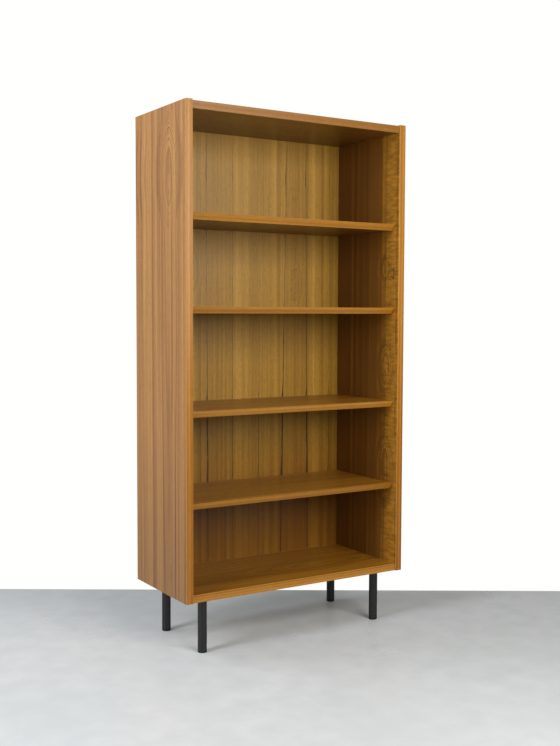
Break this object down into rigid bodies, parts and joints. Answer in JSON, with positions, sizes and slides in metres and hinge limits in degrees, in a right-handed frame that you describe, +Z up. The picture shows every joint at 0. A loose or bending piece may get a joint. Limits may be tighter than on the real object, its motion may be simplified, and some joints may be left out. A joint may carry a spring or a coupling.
{
  "type": "bookcase with adjustable shelves",
  "caption": "Tall open-fronted teak-veneered bookcase on round black steel legs, with a closed back and shelves that lift off pins and can be set at other heights.",
  "frame": {"origin": "on the floor, under the middle of the width and depth of the case", "axes": "+X to the right of someone facing the open front, +Y from the front to the back, +Z up"},
  "size_m": [0.75, 0.326, 1.53],
  "materials": {
    "side_veneer": "oiled teak veneer, grain upright",
    "board_veneer": "oiled teak veneer, grain along the board",
    "shelf_veneer": "oiled teak veneer, grain along the shelf",
    "back_veneer": "matt teak-veneered plywood, grain upright",
    "black_steel": "black powder coat, satin",
    "glide_plastic": "moulded nylon",
    "pin_steel": "nickel-plated, turned",
    "screw_steel": "zinc-plated",
    "dowel_wood": "raw beech"
  },
  "bodies": {
    "case": {"back_panel": "back_veneer", "bottom_panel": "board_veneer", "dowel_bottom_left_front": "dowel_wood", "dowel_bottom_left_rear": "dowel_wood", "dowel_bottom_right_front": "dowel_wood", "dowel_bottom_right_rear": "dowel_wood", "dowel_top_left_front": "dowel_wood", "dowel_top_left_rear": "dowel_wood", "dowel_top_right_front": "dowel_wood", "dowel_top_right_rear": "dowel_wood", "glide_front_left": "glide_plastic", "glide_front_right": "glide_plastic", "glide_rear_left": "glide_plastic", "glide_rear_right": "glide_plastic", "left_side": "side_veneer", "leg_front_left": "black_steel", "leg_front_right": "black_steel", "leg_plate_front_left": "black_steel", "leg_plate_front_right": "black_steel", "leg_plate_rear_left": "black_steel", "leg_plate_rear_right": "black_steel", "leg_rear_left": "black_steel", "leg_rear_right": "black_steel", "plate_screw_front_left_1": "screw_steel", "plate_screw_front_left_2": "screw_steel", "plate_screw_front_left_3": "screw_steel", "plate_screw_front_right_1": "screw_steel", "plate_screw_front_right_2": "screw_steel", "plate_screw_front_right_3": "screw_steel", "plate_screw_rear_left_1": "screw_steel", "plate_screw_rear_left_2": "screw_steel", "plate_screw_rear_left_3": "screw_steel", "plate_screw_rear_right_1": "screw_steel", "plate_screw_rear_right_2": "screw_steel", "plate_screw_rear_right_3": "screw_steel", "right_side": "side_veneer", "top_panel": "board_veneer"},
    "shelf_1": {"shelf_1": "shelf_veneer"},
    "shelf_2": {"shelf_2": "shelf_veneer"},
    "shelf_3": {"shelf_3": "shelf_veneer"},
    "shelf_4": {"shelf_4": "shelf_veneer"},
    "pin_1_left_front": {"pin_1_left_front": "pin_steel"},
    "pin_1_left_rear": {"pin_1_left_rear": "pin_steel"},
    "pin_1_right_front": {"pin_1_right_front": "pin_steel"},
    "pin_1_right_rear": {"pin_1_right_rear": "pin_steel"},
    "pin_2_left_front": {"pin_2_left_front": "pin_steel"},
    "pin_2_left_rear": {"pin_2_left_rear": "pin_steel"},
    "pin_2_right_front": {"pin_2_right_front": "pin_steel"},
    "pin_2_right_rear": {"pin_2_right_rear": "pin_steel"},
    "pin_3_left_front": {"pin_3_left_front": "pin_steel"},
    "pin_3_left_rear": {"pin_3_left_rear": "pin_steel"},
    "pin_3_right_front": {"pin_3_right_front": "pin_steel"},
    "pin_3_right_rear": {"pin_3_right_rear": "pin_steel"},
    "pin_4_left_front": {"pin_4_left_front": "pin_steel"},
    "pin_4_left_rear": {"pin_4_left_rear": "pin_steel"},
    "pin_4_right_front": {"pin_4_right_front": "pin_steel"},
    "pin_4_right_rear": {"pin_4_right_rear": "pin_steel"}
  },
  "joints": [
    {"name": "shelf_1_lift", "type": "slide", "parent": "case", "child": "shelf_1", "axis": [0, 0, 1], "range_m": [0, 0.2732]},
    {"name": "shelf_2_lift", "type": "slide", "parent": "case", "child": "shelf_2", "axis": [0, 0, 1], "range_m": [0, 0.235]},
    {"name": "shelf_3_lift", "type": "slide", "parent": "case", "child": "shelf_3", "axis": [0, 0, 1], "range_m": [0, 0.267]},
    {"name": "shelf_4_lift", "type": "slide", "parent": "case", "child": "shelf_4", "axis": [0, 0, 1], "range_m": [0, 0.235]},
    {"name": "pin_1_left_front_pull", "type": "slide", "parent": "case", "child": "pin_1_left_front", "axis": [1, 0, 0], "range_m": [0, 0.011]},
    {"name": "pin_1_left_rear_pull", "type": "slide", "parent": "case", "child": "pin_1_left_rear", "axis": [1, 0, 0], "range_m": [0, 0.011]},
    {"name": "pin_1_right_front_pull", "type": "slide", "parent": "case", "child": "pin_1_right_front", "axis": [-1, 0, 0], "range_m": [0, 0.011]},
    {"name": "pin_1_right_rear_pull", "type": "slide", "parent": "case", "child": "pin_1_right_rear", "axis": [-1, 0, 0], "range_m": [0, 0.011]},
    {"name": "pin_2_left_front_pull", "type": "slide", "parent": "case", "child": "pin_2_left_front", "axis": [1, 0, 0], "range_m": [0, 0.011]},
    {"name": "pin_2_left_rear_pull", "type": "slide", "parent": "case", "child": "pin_2_left_rear", "axis": [1, 0, 0], "range_m": [0, 0.011]},
    {"name": "pin_2_right_front_pull", "type": "slide", "parent": "case", "child": "pin_2_right_front", "axis": [-1, 0, 0], "range_m": [0, 0.011]},
    {"name": "pin_2_right_rear_pull", "type": "slide", "parent": "case", "child": "pin_2_right_rear", "axis": [-1, 0, 0], "range_m": [0, 0.011]},
    {"name": "pin_3_left_front_pull", "type": "slide", "parent": "case", "child": "pin_3_left_front", "axis": [1, 0, 0], "range_m": [0, 0.011]},
    {"name": "pin_3_left_rear_pull", "type": "slide", "parent": "case", "child": "pin_3_left_rear", "axis": [1, 0, 0], "range_m": [0, 0.011]},
    {"name": "pin_3_right_front_pull", "type": "slide", "parent": "case", "child": "pin_3_right_front", "axis": [-1, 0, 0], "range_m": [0, 0.011]},
    {"name": "pin_3_right_rear_pull", "type": "slide", "parent": "case", "child": "pin_3_right_rear", "axis": [-1, 0, 0], "range_m": [0, 0.011]},
    {"name": "pin_4_left_front_pull", "type": "slide", "parent": "case", "child": "pin_4_left_front", "axis": [1, 0, 0], "range_m": [0, 0.011]},
    {"name": "pin_4_left_rear_pull", "type": "slide", "parent": "case", "child": "pin_4_left_rear", "axis": [1, 0, 0], "range_m": [0, 0.011]},
    {"name": "pin_4_right_front_pull", "type": "slide", "parent": "case", "child": "pin_4_right_front", "axis": [-1, 0, 0], "range_m": [0, 0.011]},
    {"name": "pin_4_right_rear_pull", "type": "slide", "parent": "case", "child": "pin_4_right_rear", "axis": [-1, 0, 0], "range_m": [0, 0.011]}
  ]
}
